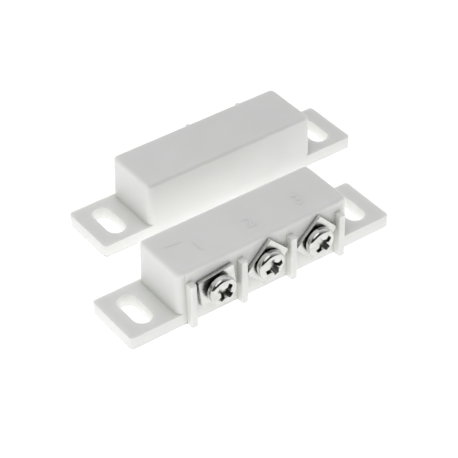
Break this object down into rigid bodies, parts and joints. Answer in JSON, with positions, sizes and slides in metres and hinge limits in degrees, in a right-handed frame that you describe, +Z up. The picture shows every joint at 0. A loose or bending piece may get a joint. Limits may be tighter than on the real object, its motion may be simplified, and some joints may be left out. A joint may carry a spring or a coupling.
{
  "type": "magnetic contact",
  "caption": "Surface-mounted magnetic door contact: switch unit with screw terminals, clamp plates and reed switch, and its plain magnet unit, both with slotted ears",
  "frame": {"origin": "centre of the switch unit's base, on the mounting surface", "axes": "+X along the long side of both units, +Y from the switch unit to the magnet unit, +Z up from the mounting surface"},
  "size_m": [0.075, 0.0443, 0.0128],
  "materials": {
    "white_plastic": "satin",
    "resin": "satin",
    "reed_glass": "gloss",
    "reed_alloy": "satin",
    "magnet_steel": "matte",
    "lug_brass": "satin",
    "solder": "gloss",
    "plate_nickel": "satin",
    "screw_nickel": "gloss"
  },
  "bodies": {
    "root": {"switch_housing": "white_plastic", "switch_potting": "resin", "glass_capsule": "reed_glass", "common_reed": "reed_alloy", "nc_contact": "reed_alloy", "no_contact": "reed_alloy", "terminal_lug_1": "lug_brass", "terminal_lug_2": "lug_brass", "terminal_lug_3": "lug_brass", "solder_joint_1": "solder", "solder_joint_2": "solder", "solder_joint_3": "solder", "magnet_housing": "white_plastic", "bar_magnet": "magnet_steel", "magnet_potting": "resin"},
    "clamp_1": {"clamp_plate_1": "plate_nickel"},
    "screw_1": {"terminal_screw_1": "screw_nickel"},
    "clamp_2": {"clamp_plate_2": "plate_nickel"},
    "screw_2": {"terminal_screw_2": "screw_nickel"},
    "clamp_3": {"clamp_plate_3": "plate_nickel"},
    "screw_3": {"terminal_screw_3": "screw_nickel"}
  },
  "joints": [
    {"name": "screw_1_travel", "type": "slide", "parent": "root", "child": "clamp_1", "axis": [0, -1, 0], "range_m": [0, 0.002]},
    {"name": "screw_1_turn", "type": "hinge", "parent": "clamp_1", "child": "screw_1", "pos_m": [-0.01215, -0.008, 0.00685], "axis": [0, -1, 0], "range_deg": [0, 1440]},
    {"name": "screw_2_travel", "type": "slide", "parent": "root", "child": "clamp_2", "axis": [0, -1, 0], "range_m": [0, 0.002]},
    {"name": "screw_2_turn", "type": "hinge", "parent": "clamp_2", "child": "screw_2", "pos_m": [0, -0.008, 0.00685], "axis": [0, -1, 0], "range_deg": [0, 1440]},
    {"name": "screw_3_travel", "type": "slide", "parent": "root", "child": "clamp_3", "axis": [0, -1, 0], "range_m": [0, 0.002]},
    {"name": "screw_3_turn", "type": "hinge", "parent": "clamp_3", "child": "screw_3", "pos_m": [0.01215, -0.008, 0.00685], "axis": [0, -1, 0], "range_deg": [0, 1440]}
  ],
  "couplings": [
    {"joint": "screw_1_turn", "follows": "screw_1_travel", "rad_per_m": 12566},
    {"joint": "screw_2_turn", "follows": "screw_2_travel", "rad_per_m": 12566},
    {"joint": "screw_3_turn", "follows": "screw_3_travel", "rad_per_m": 12566}
  ]
}
